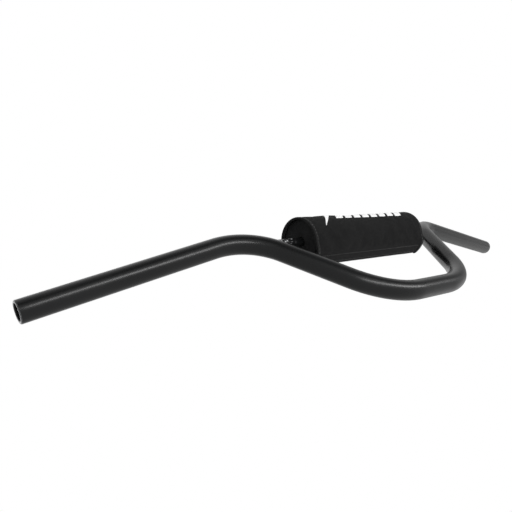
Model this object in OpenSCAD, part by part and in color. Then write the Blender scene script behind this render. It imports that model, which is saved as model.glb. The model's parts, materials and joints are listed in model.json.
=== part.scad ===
// Motorcycle handlebar with a welded crossbar and a soft crossbar pad.
// Frame: origin at the middle of the clamp zone, +X to the rider's right along the clamp zone,
// +Y forward, +Z up. The grips sweep back, towards -Y. Millimetres.

/* [Bar tube] */
// Outside diameter of the main tube
tube_d = 22.2; // [22.2:0.1:28.6]
// Wall thickness of the main tube
tube_wall = 2.8; // [2:0.1:4]
// Width over the two open ends, on the centre line
bar_width = 804; // [700:1:900]
// Distance between the corner points of the two lower bends
lower_corner_w = 148; // [140:1:170]
// Distance between the corner points of the two upper bends
upper_corner_w = 322; // [300:1:360]
// Height of the upper corner points over the clamp zone
rise = 142.5; // [120:0.5:160]
// How far the open ends lie behind the clamp zone
sweep = 53; // [20:1:90]
// How far the open ends lie below the upper corner points
grip_drop = 4; // [0:0.5:20]
// Centre-line radius of the lower bends
lower_bend_r = 83; // [60:1:90]
// Centre-line radius of the upper bends
upper_bend_r = 74; // [60:1:90]
// How much the outer edge of each open end is broken back
edge_break = 1; // [0.4:0.1:1.2]

/* [Crossbar] */
// Diameter of the crossbar rod
crossbar_d = 10; // [8:0.5:14]
// Height of the crossbar axis over the clamp zone
crossbar_z = 124; // [110:0.5:126]
// Leg of the weld beads, along the rod and on the tube
weld_leg = 3; // [2:0.5:4]

/* [Pad] */
// Length of the pad cover
pad_l = 207; // [160:1:212]
// Outside diameter of the pad cover, away from its flap
pad_d = 56.6; // [50:0.2:60]
// How far the pad rests from the middle of the crossbar
pad_shift = -5; // [-8:1:8]
// Thickness of the cover cloth
cloth_t = 1.6; // [1:0.1:2.5]
// How far the foam sits back from the cover's rims
foam_recess = 4; // [1:0.5:8]
// Radial gap between foam and cover
foam_gap = 0.6; // [0.3:0.1:1.5]
// Radial gap between foam and crossbar
foam_bore_gap = 0.3; // [0.3:0.1:1]
// Width of the slit that lets the foam onto the crossbar
slit_w = 1.5; // [0.5:0.5:3]

/* [Closure] */
// Direction of the flap's free edge round the pad, 0 is forward and 90 is up
flap_edge = 238; // [230:1:260]
// How far the flap overlaps the cloth under it, in degrees
flap_overlap = 34; // [30:1:45]
// Angle over which the cloth climbs from the foam to the flap
flap_climb = 30; // [30:1:60]
// Thickness of each of the two hook-and-loop tapes
tape_t = 1.2; // [0.8:0.1:1.5]

/* [Trim] */
// Width of the folded hem at each end of the cover
hem_w = 5; // [5:0.5:12]
// Thickness that the hem adds to the cloth
hem_t = 0.6; // [0.4:0.1:1]
// Thickness of the sewing thread
thread_d = 0.7; // [0.5:0.1:1]
// Thickness of the printed marks
print_t = 0.2; // [0.15:0.05:0.3]
// Number of slanted bars in the printed row
print_bars = 8; // [4:1:8]

/* [Hidden] */
$fn = 96;

tube_r = tube_d / 2;
bore_r = tube_r - tube_wall;
rod_r = crossbar_d / 2;
pad_r = pad_d / 2;
cloth_in_r = pad_r - cloth_t;
foam_r = cloth_in_r - foam_gap;
foam_l = pad_l - 2 * foam_recess;
cut = 1; // overrun of a cutting solid past the face it cuts
lap = 1; // overlap of two solids that are joined
bend_swell = 0.06; // how much thicker the tube is in its bends, on the radius

// Corner points of the centre line on the rider's right, from the middle out to the open end
lower_corner = [lower_corner_w / 2, 0, 0];
upper_corner = [upper_corner_w / 2, 0, rise];
end_point = [bar_width / 2, -sweep, rise - grip_drop];

rise_dir = unit(upper_corner - lower_corner);
grip_dir = unit(end_point - upper_corner);
lower_tangent = tangent_l([1, 0, 0], rise_dir, lower_bend_r);
upper_tangent = tangent_l(rise_dir, grip_dir, upper_bend_r);
// Where the un-rounded rise crosses the crossbar's height, which is inside the tube there
rod_half_l = lower_corner[0] + (upper_corner[0] - lower_corner[0]) * crossbar_z / rise;

// Pad outline
seam_gap = 0.05; // room between the hook tape and the flap's inner face
flap_lift = cloth_t + 2 * tape_t + seam_gap; // how far the flap stands off the cloth beneath it
cloth_start = flap_edge + flap_overlap; // the cloth's inner edge, under the flap
cloth_end = flap_edge - 360; // the cloth's free edge, one turn on
outline_step = 4; // degrees between points of the cloth's outline
tape_margin = 3; // degrees from a tape's edge to the cloth's edge
tape_l = pad_l - 2 * hem_w;
stitch_inset = 2; // from an edge to the sewing beside it

// Printed marks, laid out on the unrolled cover: places along the pad are from its middle, and
// heights are along the cloth, from the pad's foremost line up
print_dir = 20; // direction round the pad that the marks are drawn from
row_start = 49.5;
row_low = 1;
row_high = 22;
bar_pitch = 16.1;
bar_w = 12;
bar_lean = 0.8; // how far a bar leans to the left for each millimetre up
row_slope = 0.028; // how far the row drops for each millimetre to the left
spike = [[79, -12], [53, row_high], [40, row_high]];

function unit(v) = v / norm(v);
function turn(a, b) = acos(a * b);
function tangent_l(a, b, r) = r * tan(turn(a, b) / 2);
// Direction across a, in the plane of a and b and on b's side
function inward(a, b) = unit(b - (a * b) * a);
function smooth(t) = t <= 0 ? 0 : t >= 1 ? 1 : t * t * (3 - 2 * t);
// How far the cloth has left the round of the pad, at a place along its turn
function lift(angle) = flap_lift * smooth((cloth_start - 360 + flap_climb - angle) / flap_climb);
function polar(r, angle) = [r * cos(angle), r * sin(angle)];
// A mark's point on the unrolled cover, as seen from print_dir
function drawn(p) = [-p[0], pad_r * sin(p[1] / pad_r * 180 / PI - print_dir)];
// A point of the row, with x measured from the row's right end
function on_row(x, y) = drawn([row_start + x, y + row_slope * x]);
// The places along a turn of cloth that its outline is drawn through, the same for every layer
// that ends at the same place
function turn_steps(first, last) =
    let (steps = ceil((first - last) / outline_step))
    [for (i = [0:steps]) min(first, last + (steps - i) * outline_step)];
// Closed outline of a layer of cloth with its faces at the radii r_in and r_out
function layer(r_in, r_out, first, last) =
    let (places = turn_steps(first, last))
    concat(
        [for (a = places) polar(r_out + lift(a), a)],
        [for (i = [len(places) - 1:-1:0]) polar(r_in + lift(places[i]), places[i])]
    );

// Cylinder of radius r from point a to point b
module rod(a, b, r) {
    along = b - a;
    translate(a)
        rotate([0, acos(along[2] / norm(along)), atan2(along[1], along[0])])
            cylinder(r = r, h = norm(along));
}

// Bend of radius bend_r round corner, from direction a to direction b, for a tube of radius r
module bend(corner, a, b, bend_r, r) {
    across = inward(a, b);
    centre = corner - a * tangent_l(a, b, bend_r) + across * bend_r;
    normal = cross(-across, a);
    multmatrix([
        [-across[0], a[0], normal[0], centre[0]],
        [-across[1], a[1], normal[1], centre[1]],
        [-across[2], a[2], normal[2], centre[2]],
        [0, 0, 0, 1]
    ])
        rotate_extrude(angle = turn(a, b))
            translate([bend_r, 0])
                circle(r = r);
}

// Right side of the bar's run, filled, for a tube of radius r and going past its end by extra.
// The straights run a little way into the bends, which the bending leaves a hair thicker.
module side_run(r, extra = 0) {
    bend(lower_corner, [1, 0, 0], rise_dir, lower_bend_r, r + bend_swell);
    rod(lower_corner + rise_dir * (lower_tangent - lap), upper_corner - rise_dir * (upper_tangent - lap), r);
    bend(upper_corner, rise_dir, grip_dir, upper_bend_r, r + bend_swell);
    rod(upper_corner + grip_dir * (upper_tangent - lap), end_point + grip_dir * extra, r);
}

// The whole run, filled
module full_run(r, extra = 0) {
    clamp_half_l = lower_corner[0] - lower_tangent + lap;
    rod([-clamp_half_l, 0, 0], [clamp_half_l, 0, 0], r);
    both_sides()
        side_run(r, extra);
}

// What comes off the two edges of the right open end to break them
module end_edge_cut() {
    inner_break = edge_break * 0.7;
    translate(end_point)
        rotate([0, acos(grip_dir[2]), atan2(grip_dir[1], grip_dir[0])])
            rotate_extrude() {
                polygon([[tube_r - edge_break - cut, cut], [tube_r + cut, -edge_break - cut],
                    [tube_r + cut, cut]]);
                polygon([[bore_r + inner_break + cut, cut], [bore_r - cut, cut],
                    [bore_r - cut, -inner_break - cut]]);
            }
}

module both_sides() {
    children();
    mirror([1, 0, 0])
        children();
}

// Stands a drawing of the pad's cross-section on the crossbar's axis: x is forward and y is up
module on_crossbar() {
    translate([pad_shift, 0, crossbar_z])
        rotate([90, 0, 90])
            children();
}

module handlebar_tube() {
    color([0.07, 0.07, 0.08])
        difference() {
            full_run(tube_r);
            full_run(bore_r, cut);
            both_sides()
                end_edge_cut();
        }
}

module crossbar() {
    color([0.08, 0.08, 0.09])
        difference() {
            rod([-rod_half_l, 0, crossbar_z], [rod_half_l, 0, crossbar_z], rod_r);
            both_sides()
                side_run(tube_r);
        }
}

// Weld bead round the crossbar's right end
module weld_bead() {
    color([0.1, 0.1, 0.11])
        difference() {
            intersection() {
                side_run(tube_r + weld_leg);
                rod([0, 0, crossbar_z], [rod_half_l, 0, crossbar_z], rod_r + weld_leg);
            }
            side_run(tube_r);
            rod([0, 0, crossbar_z], [rod_half_l, 0, crossbar_z], rod_r);
        }
}

module weld_right() {
    weld_bead();
}

module weld_left() {
    mirror([1, 0, 0])
        weld_bead();
}

// Foam round the crossbar, slit on the side that the flap covers
module foam_core() {
    color([0.11, 0.11, 0.11])
        on_crossbar()
            difference() {
                cylinder(r = foam_r, h = foam_l, center = true);
                cylinder(r = rod_r + foam_bore_gap, h = foam_l + 2 * cut, center = true);
                rotate([0, 0, flap_edge + flap_overlap / 2])
                    translate([0, -slit_w / 2, -foam_l / 2 - cut])
                        cube([pad_r, slit_w, foam_l + 2 * cut]);
            }
}

// One sheet of cloth wrapped once round the foam, its free edge lapped over its first edge
module cover_sleeve() {
    color([0.14, 0.14, 0.14])
        on_crossbar()
            linear_extrude(height = pad_l, center = true)
                polygon(layer(cloth_in_r, pad_r, cloth_start, cloth_end));
}

// Part of a tube, between two radii and two directions
module sector(r_in, r_out, from, to, length) {
    translate([0, 0, -length / 2])
        rotate([0, 0, from])
            rotate_extrude(angle = to - from)
                translate([r_in, 0])
                    square([r_out - r_in, length]);
}

// Soft loop tape sewn on the outside of the cloth's inner edge
module loop_tape() {
    color([0.1, 0.1, 0.1])
        on_crossbar()
            sector(pad_r, pad_r + tape_t, flap_edge + tape_margin, cloth_start - tape_margin, tape_l);
}

// Hook tape sewn inside the flap
module hook_tape() {
    color([0.12, 0.12, 0.12])
        on_crossbar()
            sector(pad_r + tape_t, pad_r + 2 * tape_t, flap_edge + tape_margin,
                cloth_start - tape_margin, tape_l);
}

// Folded hem on the outside of the cloth, at the rim that side names: 1 is right and -1 is left
module hem(side) {
    color([0.18, 0.18, 0.18])
        on_crossbar()
            translate([0, 0, side * (pad_l - hem_w) / 2])
                linear_extrude(height = hem_w, center = true)
                    polygon(layer(pad_r, pad_r + hem_t, flap_edge - outline_step, cloth_end));
}

module hem_right() {
    hem(1);
}

module hem_left() {
    hem(-1);
}

// Row of thread near the hem's inner edge
module hem_stitch(side) {
    color([0.2, 0.2, 0.2])
        on_crossbar()
            translate([0, 0, side * (pad_l / 2 - hem_w + stitch_inset)])
                linear_extrude(height = thread_d, center = true)
                    polygon(layer(pad_r + hem_t, pad_r + hem_t + thread_d / 2,
                        flap_edge - outline_step, cloth_end));
}

module hem_stitch_right() {
    hem_stitch(1);
}

module hem_stitch_left() {
    hem_stitch(-1);
}

// Two rows of thread along the flap, one beside each edge of the hook tape
module flap_stitch() {
    outer_r = pad_r + flap_lift;
    inset = stitch_inset / outer_r * 180 / PI;
    width = thread_d / outer_r * 180 / PI;
    color([0.2, 0.2, 0.2])
        on_crossbar()
            for (a = [flap_edge + tape_margin + inset, cloth_start - tape_margin - inset])
                sector(outer_r, outer_r + thread_d / 2, a, a + width, tape_l);
}

// Plain marks printed on the cover: a spike and a row of leaning bars
module cover_print() {
    top_shift = bar_lean * (row_high - row_low);
    color([0.93, 0.93, 0.93])
        on_crossbar()
            intersection() {
                difference() {
                    cylinder(r = pad_r + print_t, h = pad_l - 2 * hem_w, center = true);
                    cylinder(r = pad_r, h = pad_l, center = true);
                }
                rotate([0, 0, print_dir])
                    rotate([0, 90, 0])
                        linear_extrude(height = pad_d) {
                            polygon([for (p = spike) drawn(p)]);
                            for (i = [0:print_bars - 1])
                                let (x = -i * bar_pitch)
                                    polygon([
                                        on_row(x, row_low),
                                        on_row(x - bar_w, row_low),
                                        on_row(x - bar_w - top_shift, row_high),
                                        on_row(x - top_shift, row_high)
                                    ]);
                        }
            }
}

handlebar_tube();
crossbar();
weld_left();
weld_right();
foam_core();
cover_sleeve();
loop_tape();
hook_tape();
hem_left();
hem_right();
hem_stitch_left();
hem_stitch_right();
flap_stitch();
cover_print();
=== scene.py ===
import json
import math

import bmesh
import bpy
import numpy as np
from mathutils import Matrix, Vector, noise
from mathutils.bvhtree import BVHTree

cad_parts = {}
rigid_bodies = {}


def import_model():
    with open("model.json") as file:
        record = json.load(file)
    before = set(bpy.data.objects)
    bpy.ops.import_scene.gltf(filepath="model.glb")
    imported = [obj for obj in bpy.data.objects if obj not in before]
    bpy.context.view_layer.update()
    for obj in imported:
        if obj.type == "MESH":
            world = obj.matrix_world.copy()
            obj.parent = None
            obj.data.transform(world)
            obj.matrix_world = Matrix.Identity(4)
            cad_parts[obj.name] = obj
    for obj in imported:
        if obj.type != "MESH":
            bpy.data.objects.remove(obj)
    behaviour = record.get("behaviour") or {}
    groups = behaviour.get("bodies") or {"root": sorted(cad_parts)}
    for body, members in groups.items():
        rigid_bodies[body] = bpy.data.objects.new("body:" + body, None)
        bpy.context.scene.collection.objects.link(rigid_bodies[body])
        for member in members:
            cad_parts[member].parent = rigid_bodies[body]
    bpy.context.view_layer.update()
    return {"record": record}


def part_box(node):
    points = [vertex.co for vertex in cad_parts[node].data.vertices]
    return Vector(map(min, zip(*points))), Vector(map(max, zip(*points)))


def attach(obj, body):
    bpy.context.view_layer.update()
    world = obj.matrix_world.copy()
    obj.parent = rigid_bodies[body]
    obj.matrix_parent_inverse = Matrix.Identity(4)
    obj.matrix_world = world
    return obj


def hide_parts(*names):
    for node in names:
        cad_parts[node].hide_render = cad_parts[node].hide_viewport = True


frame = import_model()
MOUNTS = {m["name"]: m for m in frame["record"]["mounts"]}
MM = 0.001

# ---------------------------------------------------------------- driving values, with lengths in metres
TUBE_R = MOUNTS["grip_right"]["dims"]["r_mm"] * MM
BORE_R = MOUNTS["bar_end_right"]["dims"]["r_mm"] * MM
LOWER_CORNER = Vector((74, 0, 0)) * MM
UPPER_CORNER = Vector((161, 0, 142.5)) * MM
OPEN_END = Vector((402, -53, 138.5)) * MM
LOWER_BEND_R = 83 * MM
UPPER_BEND_R = 74 * MM
OUTER_ROUND = 1.1 * MM
INNER_ROUND = 0.8 * MM
RING_SIDES = 72

rod_low, rod_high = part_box("crossbar")
ROD_R = (rod_high.z - rod_low.z) / 2
ROD_Z = (rod_high.z + rod_low.z) / 2
WELD_LEG = 3 * MM
WELD_RIPPLES = 17

foam_low, foam_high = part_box("foam_core")
cover_low, cover_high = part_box("cover_sleeve")
PAD_X = (cover_low.x + cover_high.x) / 2
PAD_L = cover_high.x - cover_low.x
PAD_R = cover_high.y
CLOTH_T = 1.6 * MM
FOAM_R = (foam_high.z - foam_low.z) / 2
FOAM_L = foam_high.x - foam_low.x
FOAM_BORE_R = ROD_R + 0.3 * MM
SLIT_W = 1.5 * MM
HEM_W = 5 * MM
HEM_T = 0.6 * MM
STITCH_INSET = 2 * MM
TAPE_T = 1.2 * MM
THREAD_R = 0.28 * MM
STITCH_PITCH = 3.6 * MM
STITCH_SHARE = 0.74
TAPE_GAP = 0.05 * MM

# The cloth's settling: the frames simulated, the most that a point may move, and the share of a
# move inwards that is taken back
SETTLE_FRAMES = 21
SETTLE_CAP = 1.1 * MM
SETTLE_BACK = 0.7

# Directions round the pad, in degrees: 0 is forward and 90 is up
FLAP_EDGE = 238
CLOTH_START = FLAP_EDGE + 34
CLOTH_END = FLAP_EDGE - 360
FLAP_CLIMB = 30
FLAP_LIFT = CLOTH_T + 2 * TAPE_T + TAPE_GAP
SLIT_AT = FLAP_EDGE + 17

# The print: a spike, and a row of leaning bars, in places along and round the unrolled cover
PRINT_T = 0.22 * MM
ROW_LOW, ROW_HIGH = 1 * MM, 22 * MM
ROW_START = 49.5 * MM
ROW_SLOPE = 0.028
BAR_PITCH, BAR_W, BAR_LEAN = 16.1 * MM, 12 * MM, 0.8
PRINT_BARS = 8
SPIKE_TIP = Vector((79, -12)) * MM
SPIKE_TOP = (Vector((53, 22)) * MM, Vector((40, 22)) * MM)

# Paint: how dark, how rough, and how deep its orange peel is
BAR_PAINT = (0.007, 0.30, 0.00004)
WELD_PAINT = (0.012, 0.20, 0.00012)
WORN_GREY = 0.20
# Painted highlights: the grey of pale spots that stand in for glints on the crossbar, where along X they
# lie, and how far they fade
GLINT_GREY = 0.40
GLINT_ZONE = (0.106, 0.130)
GLINT_FADE = 0.003

# Cloth: how dark, the weave's pitch and depth, and the sheen
COVER_WEAVE = 0.0009
COVER_CLOTH = (0.008, COVER_WEAVE, 0.00018, 0.02)
HEM_CLOTH = (0.010, 0.0007, 0.00015, 0.05)

# Tapes: tufts to the metre, and their depth
LOOP_FUZZ = (1500.0, 0.0004)
HOOK_FUZZ = (1000.0, 0.0005)
THREAD_TWIST = 0.0006

# The camera fitted to the photograph, and the direction taken as up there, with the bar lying on a table
CAMERA_PLACE = Vector((546.9, 230.2, -269.8)) * MM
CAMERA_RIGHT = Vector((-0.7614, 0.2471, -0.5994)).normalized()
CAMERA_UP = Vector((-0.0798, 0.8818, 0.4649)).normalized()
CAMERA_LENS = 38.94
TABLE_UP = Vector((0, 0.933, 0.360)).normalized()
MIDDLE = Vector((0, 0, 70)) * MM
FLOOR_Z = -0.62
FLOOR_REACH = (2.0, 60.0)

# Lights: their place, what they face, their size and their power in watts
STRIP_LIGHT = (Vector((-0.35, 0.78, -0.40)), Vector((-0.35, 0, 0.08)), (1.6, 0.2), 11.0)
FAR_LIGHT = (Vector((-1.1, -0.35, -0.25)), Vector((-0.2, 0, 0.08)), (0.7, 0.7), 0.5)
HIGH_LIGHT = (Vector((0.3, -0.5, 1.3)), MIDDLE, (1.4, 0.8), 3.0)

# The surround's strength from the table, from behind the bar and from above
TABLE_LIGHT = 0.36
BACKDROP_LIGHT = 0.44
SKY_LIGHT = 0.78


# ---------------------------------------------------------------- mesh helpers
def mesh_object(name, verts, faces, smooth=True):
    """A mesh object in the row frame."""
    mesh = bpy.data.meshes.new(name)
    mesh.from_pydata([tuple(v) for v in verts], [], faces)
    mesh.update()
    mesh.validate()
    obj = bpy.data.objects.new(name, mesh)
    bpy.context.scene.collection.objects.link(obj)
    mesh.polygons.foreach_set("use_smooth", [smooth] * len(mesh.polygons))
    return obj


def grid_faces(rows, cols, wrap_rows=False, wrap_cols=False, start=0):
    """Quads of a grid of vertices stored row by row."""
    faces = []
    for i in range(rows if wrap_rows else rows - 1):
        for j in range(cols if wrap_cols else cols - 1):
            a, b = i, (i + 1) % rows
            c, d = j, (j + 1) % cols
            quad = (a * cols + c, a * cols + d, b * cols + d, b * cols + c)
            faces.append([start + corner for corner in quad])
    return faces


def ring_faces(rings, sides):
    """Faces of a solid made of rings of vertices, with a flat face at each end."""
    ends = [list(range(sides)), list(range((rings - 1) * sides, rings * sides))]
    return grid_faces(rings, sides, wrap_cols=True) + ends


def slab_faces(rows, cols, start=0):
    """Faces of a closed slab: two grids stored one after the other, and the strip between their rims."""
    count = rows * cols
    back = [face[::-1] for face in grid_faces(rows, cols, start=start + count)]
    rim = list(range(cols)) + [i * cols + cols - 1 for i in range(1, rows)]
    rim += [(rows - 1) * cols + j for j in range(cols - 2, -1, -1)]
    rim += [i * cols for i in range(rows - 2, 0, -1)]
    edges = [(start + a, start + b) for a, b in zip(rim, rim[1:] + rim[:1])]
    return grid_faces(rows, cols, start=start) + back + [[a, b, b + count, a + count] for a, b in edges]


def face_out(obj):
    """Turns a closed mesh's faces outwards."""
    bm = bmesh_of(obj)
    bmesh.ops.recalc_face_normals(bm, faces=bm.faces)
    bm.to_mesh(obj.data)
    bm.free()
    return obj


def bmesh_of(obj):
    bm = bmesh.new()
    bm.from_mesh(obj.data)
    return bm


def apply_modifiers(obj):
    """Leaves the mesh as its modifiers show it."""
    deps = bpy.context.evaluated_depsgraph_get()
    deps.update()
    done = bpy.data.meshes.new_from_object(obj.evaluated_get(deps))
    obj.modifiers.clear()
    obj.data = done
    return obj


def subdivide(obj):
    modifier = obj.modifiers.new("smooth", "SUBSURF")
    modifier.levels = modifier.render_levels = 1
    return apply_modifiers(obj)


def finish_piece(obj, body, slot, material, *nodes):
    """Gives a piece its body, material and the CAD nodes that it stands for; the slot argument is not used.
    """
    obj.data.materials.clear()
    obj.data.materials.append(material)
    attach(obj, body)
    if nodes:
        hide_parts(*nodes)
    return obj


def smooth_step(t):
    t = min(max(t, 0.0), 1.0)
    return t * t * (3 - 2 * t)


# ---------------------------------------------------------------- materials
class Shader:
    """A material with one Principled surface, and short calls that add nodes before it."""

    def __init__(self, name, **sockets):
        self.material = bpy.data.materials.new(name)
        self.material.use_nodes = True
        self.tree = self.material.node_tree
        self.surface = self.tree.nodes["Principled BSDF"]
        self.place = self.tree.nodes.new("ShaderNodeTexCoord").outputs["Object"]
        for key, value in sockets.items():
            self.surface.inputs[key.replace("_", " ")].default_value = value

    def node(self, kind, inputs, **settings):
        n = self.tree.nodes.new("ShaderNode" + kind)
        for key, value in settings.items():
            setattr(n, key, value)
        for key, value in inputs.items():
            if isinstance(value, bpy.types.NodeSocket):
                self.tree.links.new(value, n.inputs[key])
            else:
                n.inputs[key].default_value = value
        return n

    def math(self, operation, a, b=0.0):
        return self.node("Math", {0: a, 1: b}, operation=operation).outputs[0]

    def noise(self, scale, detail=3.0):
        inputs = {"Vector": self.place, "Scale": scale, "Detail": detail, "Roughness": 0.5}
        return self.node("TexNoise", inputs).outputs["Fac"]

    def cells(self, scale):
        inputs = {"Vector": self.place, "Scale": scale}
        return self.node("TexVoronoi", inputs, feature="F1").outputs["Distance"]

    def span(self, value, low, high, to_low, to_high):
        inputs = {"Value": value, "From Min": low, "From Max": high, "To Min": to_low, "To Max": to_high}
        return self.node("MapRange", inputs).outputs["Result"]

    def mix(self, amount, a, b):
        n = self.node("Mix", {}, data_type="RGBA")
        for socket, value in ((n.inputs[0], amount), (n.inputs[6], a), (n.inputs[7], b)):
            if isinstance(value, bpy.types.NodeSocket):
                self.tree.links.new(value, socket)
            else:
                socket.default_value = value
        return n.outputs[2]

    def bump(self, height, distance, strength=1.0, before=None):
        inputs = {"Height": height, "Distance": distance, "Strength": strength}
        if before is not None:
            inputs["Normal"] = before
        return self.node("Bump", inputs).outputs["Normal"]

    def finish(self, color=None, roughness=None, normal=None):
        for key, value in (("Base Color", color), ("Roughness", roughness), ("Normal", normal)):
            if value is not None:
                self.tree.links.new(value, self.surface.inputs[key])
        return self.material


def grey(level, tint=0.0):
    """A grey, a little cooler for a positive tint."""
    return (level * (1 - tint), level, level * (1 + tint), 1.0)


def painted_glints(s, near, far):
    """Painted highlights: guessed pale spots that stand in for glints, on the rod's right end only, from
    near to far along X, on the side that was up.
    """
    parts = s.node("SeparateXYZ", {"Vector": s.place}).outputs
    forward = s.math("MULTIPLY", parts["Y"], TABLE_UP.y)
    high = s.math("MULTIPLY", s.math("SUBTRACT", parts["Z"], ROD_Z), TABLE_UP.z)
    # painted highlights are kept to the side that faced up towards the light
    lit_side = s.span(s.math("ADD", forward, high), -0.0005, 0.0010, 0.0, 1.0)
    fade_in = s.span(parts["X"], near, near + GLINT_FADE, 0.0, 1.0)
    fade_out = s.span(parts["X"], far - GLINT_FADE, far, 1.0, 0.0)
    zone = s.math("MULTIPLY", lit_side, s.math("MULTIPLY", fade_in, fade_out))
    spots = s.cells(270.0)
    ragged = s.math("ADD", spots, s.span(s.noise(1100.0, 3.0), 0.3, 0.7, -0.07, 0.07))
    return s.math("MULTIPLY", zone, s.span(ragged, 0.25, 0.33, 1.0, 0.0))


def paint_material(name, level, roughness, peel, glints_at=None):
    """Black paint: orange peel, a few dust nibs, rubbed edges where the mesh is marked as worn, and, where
    asked, pale spots painted on as glints.
    """
    s = Shader(name, Specular_IOR_Level=0.24, Coat_Weight=0.06, Coat_Roughness=0.16)
    cloudy = s.noise(9.0, 4.0)
    fine = s.noise(320.0, 2.0)
    nibs = s.cells(260.0)
    wear = s.node("Attribute", {}, attribute_name="wear").outputs["Fac"]
    broken = s.span(s.noise(900.0, 5.0), 0.42, 0.62, 0.35, 1.0)
    rubbed = s.math("MULTIPLY", wear, broken)
    base = s.mix(s.span(cloudy, 0.35, 0.65, 0.0, 1.0), grey(level * 0.85, 0.03), grey(level * 1.15, 0.05))
    color = s.mix(rubbed, base, grey(WORN_GREY, 0.02))
    # painted highlights: pale glint spots mixed into the paint's colour
    if glints_at:
        color = s.mix(painted_glints(s, *glints_at), color, grey(GLINT_GREY, 0.01))
    rough = s.span(s.math("ADD", s.math("MULTIPLY", cloudy, 0.6), s.math("MULTIPLY", fine, 0.4)),
                   0.3, 0.7, roughness - 0.05, roughness + 0.06)
    nib_height = s.span(nibs, 0.0, 0.16, 1.0, 0.0)
    normal = s.bump(fine, peel)
    normal = s.bump(nib_height, 0.00003, 0.5, normal)
    return s.finish(color, rough, normal)


def pad_coordinates(s):
    """Places on the unrolled cover: along the pad, and along the cloth round it, in metres."""
    parts = s.node("SeparateXYZ", {"Vector": s.place}).outputs
    angle = s.math("ARCTAN2", s.math("SUBTRACT", parts["Z"], ROD_Z), parts["Y"])
    return parts["X"], s.math("MULTIPLY", angle, PAD_R)


def weave(s, pitch):
    """Height of a plain weave of the given pitch, drawn on the unrolled cover."""
    along, round_pad = pad_coordinates(s)
    turns = 2 * math.pi / pitch
    warp = s.math("SINE", s.math("MULTIPLY", along, turns))
    weft = s.math("SINE", s.math("MULTIPLY", round_pad, turns))
    over = s.math("MULTIPLY", warp, weft)
    ribs = s.math("MAXIMUM", s.math("ABSOLUTE", warp), s.math("ABSOLUTE", weft))
    return s.math("ADD", s.math("MULTIPLY", over, 0.5), s.math("MULTIPLY", ribs, 0.5))


def cloth_material(name, level, pitch, depth, sheen):
    """Black woven nylon: weave, slubs, cloudy wear, a faint sheen, and painted shade where the weave is
    low.
    """
    s = Shader(name, Sheen_Weight=sheen, Sheen_Roughness=0.45, Specular_IOR_Level=0.08)
    height = weave(s, pitch)
    clouds = s.noise(28.0, 5.0)
    slubs = s.noise(420.0, 3.0)
    worn = s.span(clouds, 0.38, 0.68, 0.0, 1.0)
    # painted shade: darker where the weave is low, lighter on the raised yarns
    weave_shading = s.span(height, -0.3, 1.0, 0.0, 1.0)
    dark, light = grey(level * 0.72, 0.02), grey(level * 1.25, 0.01)
    color = s.mix(weave_shading, dark, s.mix(worn, light, grey(level * 1.55, 0.0)))
    rough = s.span(slubs, 0.3, 0.7, 0.78, 0.94)
    normal = s.bump(height, depth)
    normal = s.bump(slubs, depth * 0.6, 0.6, normal)
    return s.finish(color, rough, normal)


def foam_material():
    """Black closed-cell foam with skinned cells."""
    s = Shader("foam", Specular_IOR_Level=0.12)
    cells = s.cells(780.0)
    pores = s.cells(2100.0)
    clouds = s.noise(60.0, 4.0)
    color = s.mix(s.span(cells, 0.05, 0.6, 0.0, 1.0), grey(0.016, 0.03), grey(0.006))
    color = s.mix(s.span(clouds, 0.4, 0.7, 0.0, 0.5), color, grey(0.022, 0.02))
    normal = s.bump(cells, 0.0004)
    normal = s.bump(pores, 0.00012, 0.7, normal)
    return s.finish(color, s.span(clouds, 0.3, 0.7, 0.8, 0.95), normal)


def tape_material(name, scale, depth):
    """Hook-and-loop tape: a dense fuzz of loops, or rows of hooks."""
    s = Shader(name, Sheen_Weight=0.35, Sheen_Roughness=0.6, Specular_IOR_Level=0.35)
    tufts = s.cells(scale)
    fuzz = s.noise(scale * 1.7, 4.0)
    color = s.mix(s.span(tufts, 0.1, 0.6, 0.0, 1.0), grey(0.03, 0.02), grey(0.008))
    normal = s.bump(tufts, depth)
    normal = s.bump(fuzz, depth * 0.5, 0.8, normal)
    return s.finish(color, s.span(fuzz, 0.3, 0.7, 0.7, 0.95), normal)


def thread_material():
    """Bonded sewing thread, with its twist, and painted shade in the twist's grooves."""
    s = Shader("thread", Specular_IOR_Level=0.5, Sheen_Weight=0.2)
    parts = s.node("SeparateXYZ", {"Vector": s.place}).outputs
    slant = s.math("ADD", s.math("ADD", parts["X"], parts["Y"]), parts["Z"])
    twist = s.math("SINE", s.math("MULTIPLY", slant, 2 * math.pi / THREAD_TWIST))
    # painted shade: darker in the twist's grooves, lighter on its ridges
    color = s.mix(s.span(twist, -1.0, 1.0, 0.0, 1.0), grey(0.012), grey(0.034, 0.02))
    return s.finish(color, s.span(s.noise(500.0), 0.3, 0.7, 0.4, 0.6), s.bump(twist, 0.00008))


def ink_material():
    """White screen print that follows the weave and is rubbed thin in places."""
    s = Shader("ink", Specular_IOR_Level=0.4)
    height = weave(s, COVER_WEAVE)
    rub = s.span(s.noise(240.0, 5.0), 0.62, 0.78, 0.0, 0.35)
    clouds = s.span(s.noise(40.0, 3.0), 0.35, 0.65, 0.0, 1.0)
    color = s.mix(rub, s.mix(clouds, grey(0.78), grey(0.88)), grey(0.35))
    return s.finish(color, s.span(s.noise(300.0), 0.3, 0.7, 0.45, 0.62), s.bump(height, 0.00006))


def floor_material():
    s = Shader("floor", Specular_IOR_Level=0.3)
    clouds = s.noise(3.0, 4.0)
    color = s.mix(s.span(clouds, 0.3, 0.7, 0.0, 1.0), grey(0.80), grey(0.84))
    return s.finish(color, s.span(clouds, 0.3, 0.7, 0.55, 0.65))


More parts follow.
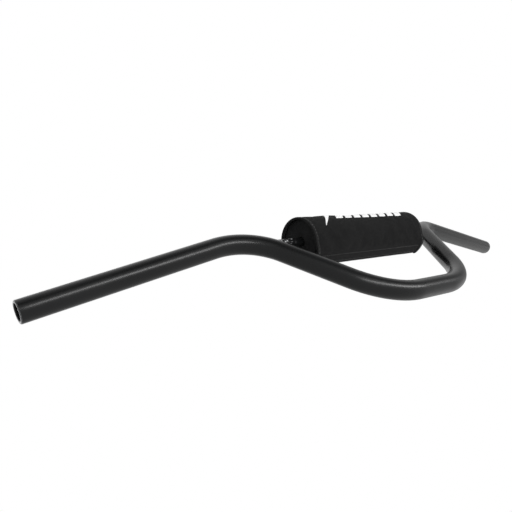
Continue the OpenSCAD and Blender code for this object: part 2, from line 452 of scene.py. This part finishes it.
# ---------------------------------------------------------------- main tube
def bend_points(corner, a, b, radius, step=2.0):
    """Points and directions round a bend from direction a to direction b."""
    turn = a.angle(b)
    across = (b - a * a.dot(b)).normalized()
    start = corner - a * radius * math.tan(turn / 2)
    count = math.ceil(math.degrees(turn) / step)
    for i in range(count + 1):
        t = turn * i / count
        point = start + a * radius * math.sin(t) + across * radius * (1 - math.cos(t))
        yield point, a * math.cos(t) + across * math.sin(t)


def straight_points(p, q, step=0.012):
    """Points and directions inside the straight from p to q, without its ends."""
    along = (q - p).normalized()
    count = max(int((q - p).length / step), 2)
    return [(p + (q - p) * i / count, along) for i in range(1, count)]


def right_half():
    """The centre line's points and directions, from the middle to the right open end."""
    x = Vector((1, 0, 0))
    rise = (UPPER_CORNER - LOWER_CORNER).normalized()
    grip = (OPEN_END - UPPER_CORNER).normalized()
    low = list(bend_points(LOWER_CORNER, x, rise, LOWER_BEND_R))
    high = list(bend_points(UPPER_CORNER, rise, grip, UPPER_BEND_R))
    line = [(Vector((0, 0, 0)), x)]
    line += straight_points(line[0][0], low[0][0]) + low
    line += straight_points(low[-1][0], high[0][0]) + high
    line += straight_points(high[-1][0], OPEN_END)
    return line


def mirrored(point):
    return Vector((-point.x, point.y, point.z))


def centre_line():
    """The whole centre line without its two ends, from the left to the right."""
    right = right_half()
    left = [(mirrored(p), Vector((t.x, -t.y, -t.z))) for p, t in reversed(right[1:])]
    return left + right


def end_profile():
    """Distances inwards from the open end, radii and wear, over the tube's rounded lip."""
    arc = 6
    quarter = [math.pi / 2 * i / arc for i in range(arc + 1)]
    outer = [(OUTER_ROUND * (1 - math.sin(q)), TUBE_R - OUTER_ROUND * (1 - math.cos(q))) for q in quarter]
    inner = [(INNER_ROUND * (1 - math.cos(q)), BORE_R + INNER_ROUND * (1 - math.sin(q))) for q in quarter]
    edge = [math.sin(math.pi * (i + 0.5) / (2 * arc + 2)) for i in range(2 * arc + 2)]
    edge[0] = edge[-1] = 0.0
    return [(back, radius, worn) for (back, radius), worn in zip(outer + inner, edge)]


def make_tube():
    """One bent tube with a bore right through and rounded lips."""
    line = centre_line()
    grip = (OPEN_END - UPPER_CORNER).normalized()
    ends = (mirrored(OPEN_END), Vector((grip.x, -grip.y, -grip.z))), (OPEN_END, grip)
    side = Vector((0, 1, 0))
    frames = []
    for point, along in [ends[0]] + line + [ends[1]]:
        side = (side - along * side.dot(along)).normalized()
        frames.append((point, along, side.copy()))
    lip = end_profile()
    stations = [(p, t, n, TUBE_R, 0.0) for p, t, n in frames[1:-1]]
    end, along, side = frames[-1]
    stations += [(end - along * back, along, side, r, worn) for back, r, worn in lip]
    stations += [(p, t, n, BORE_R, 0.0) for p, t, n in reversed(frames[1:-1])]
    end, along, side = frames[0]
    stations += [(end + along * back, along, side, r, worn) for back, r, worn in reversed(lip)]
    verts, wear = [], []
    for point, along, side, radius, worn in stations:
        other = along.cross(side)
        for k in range(RING_SIDES):
            a = 2 * math.pi * k / RING_SIDES
            verts.append(point + (side * math.cos(a) + other * math.sin(a)) * radius)
            wear.append(worn)
    faces = grid_faces(len(stations), RING_SIDES, wrap_rows=True, wrap_cols=True)
    tube = face_out(mesh_object("bent_tube", verts, faces))
    layer = tube.data.attributes.new("wear", "FLOAT", "POINT")
    layer.data.foreach_set("value", wear)
    return tube


# ---------------------------------------------------------------- crossbar and its welds
class RightTube:
    """Distances from the right half of the tube's centre line."""

    def __init__(self):
        points = np.array([tuple(p) for p, _ in right_half()] + [tuple(OPEN_END)])
        self.start, self.run = points[:-1], np.diff(points, axis=0)
        self.length2 = (self.run ** 2).sum(1)

    def nearest(self, point):
        """The nearest place on the centre line."""
        t = ((np.array(point) - self.start) * self.run).sum(1) / self.length2
        places = self.start + self.run * np.clip(t, 0, 1)[:, None]
        return Vector(places[((places - np.array(point)) ** 2).sum(1).argmin()])

    def meets(self, y, z, radius):
        """How far along +X a line at (y, z) goes before it is radius from the centre line."""
        near, far = 0.05, UPPER_CORNER.x - 0.008
        for _ in range(30):
            middle = (near + far) / 2
            point = Vector((middle, y, z))
            if (point - self.nearest(point)).length > radius:
                near = middle
            else:
                far = middle
        return near


def make_crossbar(tube):
    """A rod whose ends are cut to sit in the tube's side."""
    sunk = 0.5 * MM
    sides = 48
    rings = 41
    verts = []
    for i in range(rings):
        for k in range(sides):
            a = 2 * math.pi * k / sides
            y, z = ROD_R * math.cos(a), ROD_Z + ROD_R * math.sin(a)
            half = tube.meets(y, z, TUBE_R - sunk)
            verts.append(Vector((half * (2 * i / (rings - 1) - 1), y, z)))
    rod = face_out(mesh_object("crossbar_rod", verts, ring_faces(rings, sides)))
    for face in rod.data.polygons:
        face.use_smooth = len(face.vertices) == 4
    return rod


def make_weld(name, tube, side):
    """A bead of overlapping ripples round one end of the crossbar."""
    around, across = 170, 9
    corners = []
    for i in range(around):
        a = 2 * math.pi * i / around
        radial = Vector((0, math.cos(a), math.sin(a)))
        y, z = ROD_R * radial.y, ROD_Z + ROD_R * radial.z
        corners.append((Vector((tube.meets(y, z, TUBE_R), y, z)), radial, a))
    verts = []
    for i, (corner, radial, a) in enumerate(corners):
        normal = (corner - tube.nearest(corner)).normalized()
        run = (corners[(i + 1) % around][0] - corners[i - 1][0]).normalized()
        on_tube = run.cross(normal).normalized()
        on_rod = run.cross(radial).normalized()
        on_tube *= 1 if on_tube.dot(radial) > 0 else -1
        on_rod *= 1 if on_rod.x < 0 else -1
        for j in range(across):
            t = math.pi / 2 * j / (across - 1)
            phase = a * WELD_RIPPLES / 2 + 0.55 * math.cos(2 * t)
            ripple = abs(math.sin(phase))
            size = 1 + 0.12 * noise.noise(corner * 350)
            leg = WELD_LEG * size * (0.80 + 0.20 * ripple)
            verts.append(corner + (on_rod * math.cos(t) + on_tube * math.sin(t)) * leg)
        verts.append(corner - (normal + radial) * WELD_LEG * 0.2)
    if side < 0:
        verts = [mirrored(v) for v in verts]
    faces = grid_faces(around, across + 1, wrap_rows=True, wrap_cols=True)
    return face_out(mesh_object(name, verts, faces))


# ---------------------------------------------------------------- pad
def lift(angle):
    """How far the cloth stands off the round of the pad, at a place along its turn."""
    return FLAP_LIFT * smooth_step((CLOTH_START - 360 + FLAP_CLIMB - angle) / FLAP_CLIMB)


def on_pad(x, radius, angle):
    """A point at x from the pad's middle, at a radius and a direction round the crossbar."""
    a = math.radians(angle)
    return Vector((PAD_X + x, radius * math.cos(a), ROD_Z + radius * math.sin(a)))


def steps(first, last, size):
    """Evenly spaced values from first to last, no more than size apart."""
    count = max(math.ceil(abs(last - first) / size), 1)
    return [first + (last - first) * i / count for i in range(count + 1)]


def swept_band(name, profile, angles, radius_at):
    """A closed outline of (x, height) points swept round the pad, with flat ends."""
    verts = [on_pad(x, radius_at(a) + h, a) for a in angles for x, h in profile]
    return face_out(mesh_object(name, verts, ring_faces(len(angles), len(profile))))


def rounded_outline(x_low, x_high, h_low, h_high, r, arc=4, gap=0.0025):
    """The outline of a rectangle with round corners, with points along its long sides."""
    points = []
    for cx, ch, start in ((x_high - r, h_high - r, 0), (x_low + r, h_high - r, 90),
                          (x_low + r, h_low + r, 180), (x_high - r, h_low + r, 270)):
        for i in range(arc + 1):
            a = math.radians(start + 90 * i / arc)
            points.append((cx + r * math.cos(a), ch + r * math.sin(a)))
    full = []
    for p, q in zip(points, points[1:] + points[:1]):
        count = max(int(math.dist(p, q) / gap), 1)
        full += [(p[0] + (q[0] - p[0]) * i / count, p[1] + (q[1] - p[1]) * i / count) for i in range(count)]
    return full


def make_foam():
    """The slit foam core, its end faces a little uneven."""
    half = math.degrees(SLIT_W / 2 / FOAM_R)
    angles = steps(SLIT_AT + half, SLIT_AT + 360 - half, 3.0)
    outline = rounded_outline(-FOAM_L / 2, FOAM_L / 2, FOAM_BORE_R, FOAM_R, 1.2 * MM, gap=0.002)
    foam = swept_band("foam", outline, angles, lambda a: 0.0)
    for v in foam.data.vertices:
        away = abs(v.co.x - PAD_X)
        if away > FOAM_L / 2 - 1.3 * MM:
            bulge = 0.45 * MM * noise.noise(v.co * 90) - 0.25 * MM * abs(noise.noise(v.co * 260))
            v.co.x += math.copysign(bulge, v.co.x - PAD_X)
    return foam


def cloth_sheet(angles, places):
    """The middle of the cover's cloth, as a grid wrapped round the pad and over its own first edge."""
    verts = [on_pad(x, PAD_R - CLOTH_T / 2 + lift(a), a) for a in angles for x in places]
    return mesh_object("cover_sheet", verts, grid_faces(len(angles), len(places)))


def settle_cloth(sheet, angles, places):
    """Simulates the slack cloth between its sewn and fastened edges, and keeps the moves small."""
    held = sheet.vertex_groups.new(name="held")
    cols = len(places)
    for i, a in enumerate(angles):
        fastened = a >= FLAP_EDGE or a <= CLOTH_START - 360
        for j, x in enumerate(places):
            if fastened or abs(x) > PAD_L / 2 - HEM_W:
                held.add([i * cols + j], 1.0, "ADD")
    rest = np.array([v.co[:] for v in sheet.data.vertices])
    ripple = [noise.noise(Vector(p) * 55) * 0.25 * MM for p in rest]
    for v, push in zip(sheet.data.vertices, ripple):
        v.co += Vector((0, v.co.y, v.co.z - ROD_Z)).normalized() * push
    cloth = sheet.modifiers.new("cloth", "CLOTH")
    cloth.settings.quality = 6
    cloth.settings.mass = 0.25
    cloth.settings.tension_stiffness = 20
    cloth.settings.compression_stiffness = 20
    cloth.settings.shear_stiffness = 8
    cloth.settings.bending_stiffness = 0.6
    cloth.settings.shrink_min = -0.022
    cloth.settings.use_pressure = True
    cloth.settings.uniform_pressure_force = 1.2
    cloth.settings.vertex_group_mass = "held"
    cloth.settings.effector_weights.gravity = 0
    cloth.collision_settings.use_collision = False
    scene = bpy.context.scene
    for n in range(1, SETTLE_FRAMES + 1):
        scene.frame_set(n)
    apply_modifiers(sheet)
    scene.frame_set(1)
    moved = np.array([v.co[:] for v in sheet.data.vertices]) - rest
    far = np.linalg.norm(moved, axis=1, keepdims=True)
    moved *= SETTLE_CAP * np.tanh(far / SETTLE_CAP) / np.maximum(far, 1e-9)
    out = rest - np.array([0, 0, ROD_Z])
    out[:, 0] = 0
    out /= np.linalg.norm(out, axis=1, keepdims=True)
    inward = np.minimum((moved * out).sum(1), 0)
    moved -= SETTLE_BACK * inward[:, None] * out
    return rest + moved


def make_cover():
    """The cover's cloth, with its thickness, after it has settled."""
    angles = steps(CLOTH_START, CLOTH_END, 4.0)
    places = steps(-PAD_L / 2, PAD_L / 2, 3 * MM)
    sheet = cloth_sheet(angles, places)
    middle = np.array([v.co[:] for v in sheet.data.vertices])
    middle = settle_cloth(sheet, angles, places)
    rows, cols = len(angles), len(places)
    grid = middle.reshape(rows, cols, 3)
    normals = np.cross(np.gradient(grid, axis=1), np.gradient(grid, axis=0))
    normals /= np.linalg.norm(normals, axis=2, keepdims=True)
    outward = grid - np.array([0, 0, ROD_Z])
    outward[..., 0] = 0
    normals *= np.sign((normals * outward).sum(2, keepdims=True))
    outer = (grid + normals * CLOTH_T / 2).reshape(-1, 3)
    inner = (grid - normals * CLOTH_T / 2).reshape(-1, 3)
    bpy.data.objects.remove(sheet)
    cover = face_out(mesh_object("cover_cloth", list(outer) + list(inner), slab_faces(rows, cols)))
    return subdivide(cover)


def make_hem(name, side):
    """A folded hem round one rim: outside, over the edge and a little way back inside."""
    fold = 0.5 * MM
    edge = PAD_L / 2
    waist = edge - HEM_W + STITCH_INSET
    outside = [(edge - HEM_W - 0.2 * MM, -0.15 * MM), (edge - HEM_W + 0.1 * MM, HEM_T * 0.5),
               (waist - 0.9 * MM, HEM_T * 0.95), (waist, HEM_T * 0.72), (waist + 0.9 * MM, HEM_T),
               (edge - 1.2 * MM, HEM_T * 1.2), (edge - 0.4 * MM, HEM_T)]
    middle = (HEM_T - CLOTH_T - fold) / 2
    bulge = (HEM_T + CLOTH_T + fold) / 2
    over = [(edge + fold * math.sin(math.radians(q)) - 0.3 * MM, middle + bulge * math.cos(math.radians(q)))
            for q in (25, 55, 90, 125, 155)]
    inside = [(edge - 1 * MM, -CLOTH_T - fold), (edge - 3.2 * MM, -CLOTH_T - fold * 0.9),
              (edge - 3.5 * MM, -CLOTH_T * 0.9)]
    profile = [(side * x, h) for x, h in outside + over + inside]
    band = swept_band(name, profile, steps(CLOTH_START, CLOTH_END - 1.2, 3.0), lambda a: PAD_R + lift(a))
    return subdivide(band)


def make_tape(name, h_low, h_high):
    """A strip of hook or loop tape along the pad, with soft edges."""
    outline = rounded_outline(-PAD_L / 2 + HEM_W, PAD_L / 2 - HEM_W, h_low, h_high, 0.35 * MM, gap=0.004)
    angles = steps(FLAP_EDGE + 3, CLOTH_START - 3, 2.0)
    tape = swept_band(name, outline, angles, lambda a: PAD_R)
    for v in tape.data.vertices:
        v.co += noise.noise_vector(v.co * 700) * 0.06 * MM
    return tape


def stitch(verts, faces, start, end, out):
    """Adds one stitch from start to end: a short thread that dives into the cloth at both ends."""
    sides, rings = 6, 6
    along = (end - start).normalized()
    across = along.cross(out).normalized()
    base = len(verts)
    for i in range(rings):
        t = i / (rings - 1)
        arch = math.sin(math.pi * t)
        centre = start.lerp(end, t) + out * THREAD_R * (1.5 * arch - 0.9)
        radius = THREAD_R * (0.55 + 0.45 * arch ** 0.5)
        for k in range(sides):
            a = 2 * math.pi * k / sides
            verts.append(centre + (across * math.cos(a) + out * math.sin(a)) * radius)
    faces += grid_faces(rings, sides, wrap_cols=True, start=base)
    last = base + (rings - 1) * sides
    faces += [[base + k for k in range(sides)], [last + k for k in range(sides)][::-1]]


def outward_at(angle):
    a = math.radians(angle)
    return Vector((0, math.cos(a), math.sin(a)))


def make_hem_stitches(name, side):
    """One row of stitches round a hem."""
    pitch = math.degrees(STITCH_PITCH / PAD_R)
    x = side * (PAD_L / 2 - HEM_W + STITCH_INSET)
    verts, faces = [], []
    for a in steps(FLAP_EDGE - 5, CLOTH_END + 4, pitch):
        ends = [on_pad(x, PAD_R + lift(b) + HEM_T * 0.75, b) for b in (a, a - pitch * STITCH_SHARE)]
        stitch(verts, faces, *ends, outward_at(a - pitch * STITCH_SHARE / 2))
    return face_out(mesh_object(name, verts, faces))


def make_flap_stitches(surface):
    """Rows of stitches along the flap, over the hook tape: two by the free edge and one further back."""
    reach = PAD_L / 2 - HEM_W - STITCH_PITCH
    verts, faces = [], []
    for a in (CLOTH_END + 4.5, CLOTH_END + 10, CLOTH_START - 360 - 6):
        for x in steps(-reach, reach, STITCH_PITCH)[:-1]:
            ends = [surface.point(b, a, -0.05 * MM) for b in (x, x + STITCH_PITCH * STITCH_SHARE)]
            stitch(verts, faces, *ends, outward_at(a))
    return face_out(mesh_object("flap_stitches", verts, faces))


class CoverSurface:
    """The outside of the finished cover, for what lies on it."""

    def __init__(self, cover):
        self.tree = BVHTree.FromObject(cover, bpy.context.evaluated_depsgraph_get())

    def point(self, x, angle, height):
        """The place on the cloth at x along the pad and a direction round it, raised by height."""
        out = outward_at(angle)
        start = on_pad(x, PAD_R + 12 * MM, angle)
        hit = self.tree.ray_cast(start, -out)[0]
        return (hit or on_pad(x, PAD_R, angle)) + out * height


def printed_patch(verts, faces, surface, corners, across=8, up=14):
    """Adds one mark: a four-cornered patch of the unrolled cover, laid on the cloth, with its thickness."""
    low_left, low_right, high_right, high_left = corners
    base = len(verts)
    for height in (PRINT_T, -PRINT_T):
        for i in range(up + 1):
            for j in range(across + 1):
                low = low_left.lerp(low_right, j / across)
                high = high_left.lerp(high_right, j / across)
                place = low.lerp(high, i / up)
                angle = math.degrees(place.y / PAD_R)
                verts.append(surface.point(place.x, angle, height))
    faces += slab_faces(up + 1, across + 1, base)


def make_print(surface):
    """A spike and a row of leaning bars, in white ink."""
    verts, faces = [], []
    half_tip = Vector((0.4 * MM, 0))
    spike = (SPIKE_TIP + half_tip, SPIKE_TIP - half_tip, SPIKE_TOP[1], SPIKE_TOP[0])
    printed_patch(verts, faces, surface, spike)
    shift = BAR_LEAN * (ROW_HIGH - ROW_LOW)
    for i in range(PRINT_BARS):
        x = -i * BAR_PITCH
        low = (x, ROW_LOW), (x - BAR_W, ROW_LOW)
        high = (x - BAR_W - shift, ROW_HIGH), (x - shift, ROW_HIGH)
        corners = [Vector((ROW_START + a, b + ROW_SLOPE * a)) for a, b in low + high]
        printed_patch(verts, faces, surface, corners)
    return face_out(mesh_object("print_marks", verts, faces))


# ---------------------------------------------------------------- stage
def make_floor():
    sides = 64
    verts = [Vector((0, 0, FLOOR_Z))]
    for reach in FLOOR_REACH:
        verts += [Vector((reach * math.cos(a), reach * math.sin(a), FLOOR_Z))
                  for a in (2 * math.pi * k / sides for k in range(sides))]
    edges = [(1 + k, 1 + (k + 1) % sides) for k in range(sides)]
    faces = [[0, a, b] for a, b in edges] + [[a, a + sides, b + sides, b] for a, b in edges]
    floor = mesh_object("floor", verts, faces, smooth=False)
    floor.data.materials.append(floor_material())


def area_light(name, place, target, size, power, lit=None):
    """A soft light at place that faces target, its longer side level; lit names what it shines on."""
    light = bpy.data.lights.new(name, "AREA")
    light.shape = "RECTANGLE"
    light.size, light.size_y = size
    light.energy = power
    obj = bpy.data.objects.new(name, light)
    obj.visible_camera = False
    obj.light_linking.receiver_collection = lit
    back = (place - target).normalized()
    x = Vector((0, 0, 1)).cross(back).normalized()
    y = back.cross(x)
    obj.matrix_world = Matrix.Translation(place) @ Matrix((x, y, back)).transposed().to_4x4()
    bpy.context.scene.collection.objects.link(obj)


def make_lights():
    bar = bpy.data.collections.new("bar")
    for piece in bpy.context.scene.objects:
        if piece.type == "MESH" and piece.name != "floor":
            bar.objects.link(piece)
    area_light("strip", *STRIP_LIGHT, lit=bar)
    area_light("far_side", *FAR_LIGHT, lit=bar)
    area_light("high", *HIGH_LIGHT)


def make_world():
    """White to the eye; as a light it comes from the table, from behind the bar and from above."""
    world = bpy.data.worlds.new("studio")
    bpy.context.scene.world = world
    world.use_nodes = True
    tree = world.node_tree
    tree.nodes.clear()

    def node(kind, **settings):
        n = tree.nodes.new("ShaderNode" + kind)
        for key, value in settings.items():
            setattr(n, key, value)
        return n

    way = node("TexCoord").outputs["Generated"]

    def facing(direction, low, high, to_low, to_high):
        dot = node("VectorMath", operation="DOT_PRODUCT")
        tree.links.new(way, dot.inputs[0])
        dot.inputs[1].default_value = direction
        ramp = node("MapRange", interpolation_type="SMOOTHSTEP")
        tree.links.new(dot.outputs["Value"], ramp.inputs["Value"])
        for key, value in zip(("From Min", "From Max", "To Min", "To Max"), (low, high, to_low, to_high)):
            ramp.inputs[key].default_value = value
        return ramp.outputs["Result"]

    behind = CAMERA_UP.cross(CAMERA_RIGHT)
    table = facing(-TABLE_UP, 0.0, 0.8, 0.0, TABLE_LIGHT)
    backdrop = facing(behind, 0.1, 0.8, 0.05, BACKDROP_LIGHT)
    ceiling = facing((0, 0, 1), 0.1, 0.9, 0.0, SKY_LIGHT)
    total = table
    for part in (backdrop, ceiling):
        add = node("Math", operation="ADD")
        tree.links.new(total, add.inputs[0])
        tree.links.new(part, add.inputs[1])
        total = add.outputs[0]
    lighting = node("Background")
    tree.links.new(total, lighting.inputs["Strength"])
    white = node("Background")
    white.inputs["Strength"].default_value = 1.0
    for shader in (lighting, white):
        shader.inputs["Color"].default_value = (1, 1, 1, 1)
    mix = node("MixShader")
    tree.links.new(node("LightPath").outputs["Is Camera Ray"], mix.inputs[0])
    tree.links.new(lighting.outputs[0], mix.inputs[1])
    tree.links.new(white.outputs[0], mix.inputs[2])
    tree.links.new(mix.outputs[0], node("OutputWorld").inputs["Surface"])


def make_camera():
    data = bpy.data.cameras.new("camera")
    data.lens = CAMERA_LENS
    data.sensor_width = 36
    data.clip_start = 0.01
    data.dof.use_dof = False
    camera = bpy.data.objects.new("camera", data)
    right = CAMERA_RIGHT
    back = right.cross(CAMERA_UP).normalized()
    up = back.cross(right)
    camera.matrix_world = Matrix.Translation(CAMERA_PLACE) @ Matrix((right, up, back)).transposed().to_4x4()
    bpy.context.scene.collection.objects.link(camera)
    bpy.context.scene.camera = camera


# ---------------------------------------------------------------- build
def build():
    paint = paint_material("bar_paint", *BAR_PAINT)
    # the crossbar's paint carries painted glint spots near its right end
    rod_paint = paint_material("crossbar_paint", *BAR_PAINT, glints_at=GLINT_ZONE)
    weld_paint = paint_material("weld_paint", *WELD_PAINT)
    cloth = cloth_material("cover_cloth", *COVER_CLOTH)
    hem_cloth = cloth_material("hem_cloth", *HEM_CLOTH)
    thread = thread_material()

    tube = RightTube()
    finish_piece(make_tube(), "frame", "bar_paint", paint, "handlebar_tube")
    finish_piece(make_crossbar(tube), "frame", "crossbar_paint", rod_paint, "crossbar")
    for name, side in (("right", 1), ("left", -1)):
        weld = make_weld("weld_bead_" + name, tube, side)
        finish_piece(weld, "frame", "weld_paint", weld_paint, "weld_" + name)

    foam = finish_piece(make_foam(), "core", "foam", foam_material(), "foam_core")

    cover = finish_piece(make_cover(), "cover", "cover_cloth", cloth, "cover_sleeve")
    surface = CoverSurface(cover)
    for name, side in (("right", 1), ("left", -1)):
        hem = make_hem("hem_fold_" + name, side)
        finish_piece(hem, "cover", "hem_cloth", hem_cloth, "hem_" + name)
        row = make_hem_stitches("hem_stitches_" + name, side)
        finish_piece(row, "cover", "thread", thread, "hem_stitch_" + name)
    loops = make_tape("loop_strip", TAPE_GAP, TAPE_T)
    finish_piece(loops, "cover", "tape", tape_material("loops", *LOOP_FUZZ), "loop_tape")
    hooks = make_tape("hook_strip", TAPE_T, 2 * TAPE_T - TAPE_GAP)
    finish_piece(hooks, "cover", "tape", tape_material("hooks", *HOOK_FUZZ), "hook_tape")
    finish_piece(make_flap_stitches(surface), "cover", "thread", thread, "flap_stitch")
    finish_piece(make_print(surface), "cover", "print_white", ink_material(), "cover_print")

    make_floor()
    make_lights()
    make_world()
    make_camera()
    bpy.context.scene.view_settings.view_transform = "Standard"


build()
